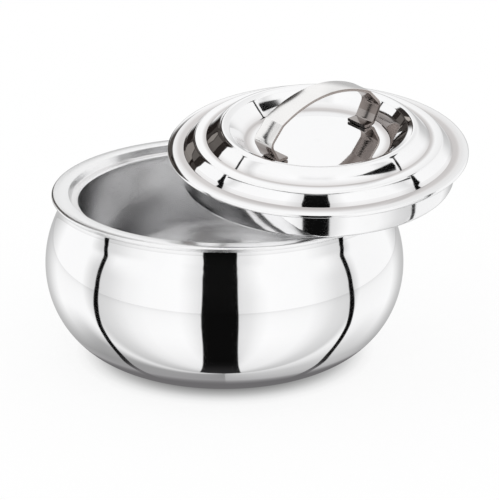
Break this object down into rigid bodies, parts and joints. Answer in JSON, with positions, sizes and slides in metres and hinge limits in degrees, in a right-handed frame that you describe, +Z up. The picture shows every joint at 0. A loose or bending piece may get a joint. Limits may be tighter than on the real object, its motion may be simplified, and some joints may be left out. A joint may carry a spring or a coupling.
{
  "type": "insulated serving casserole",
  "caption": "Double-walled polished steel serving pot with a bulging body, a wide flat rim and an inner bowl, and a stepped lift-off lid with an arched strap handle.",
  "frame": {"origin": "middle of the base plate's underside, on the surface that the pot stands on", "axes": "+Z up along the pot's axis; +X towards the side of the rim on which the lid lies; -Y is the front, towards which the lid tips"},
  "size_m": [0.2714, 0.2316, 0.1818],
  "materials": {
    "pot_steel": "polished",
    "bowl_steel": "polished",
    "lid_steel": "polished",
    "strap_steel": "polished",
    "fixing_steel": "satin",
    "foam": "matte",
    "plug_plastic": "matte"
  },
  "bodies": {
    "pot": {"pot_outer_shell": "pot_steel", "pot_inner_bowl": "bowl_steel", "pot_insulation": "foam", "pot_base_plate": "pot_steel", "pot_fill_plug": "plug_plastic"},
    "lid": {"lid_cover": "lid_steel", "lid_pan": "lid_steel", "lid_insulation": "foam", "lid_fill_plug": "plug_plastic", "lid_handle_strap": "strap_steel", "handle_stud_front": "fixing_steel", "handle_washer_front": "fixing_steel", "handle_nut_front": "fixing_steel", "handle_stud_back": "fixing_steel", "handle_washer_back": "fixing_steel", "handle_nut_back": "fixing_steel"}
  },
  "joints": [
    {"name": "lid_lift", "type": "slide", "parent": "pot", "child": "lid", "axis": [0, 0, 1], "range_m": [0, 0.12]}
  ]
}
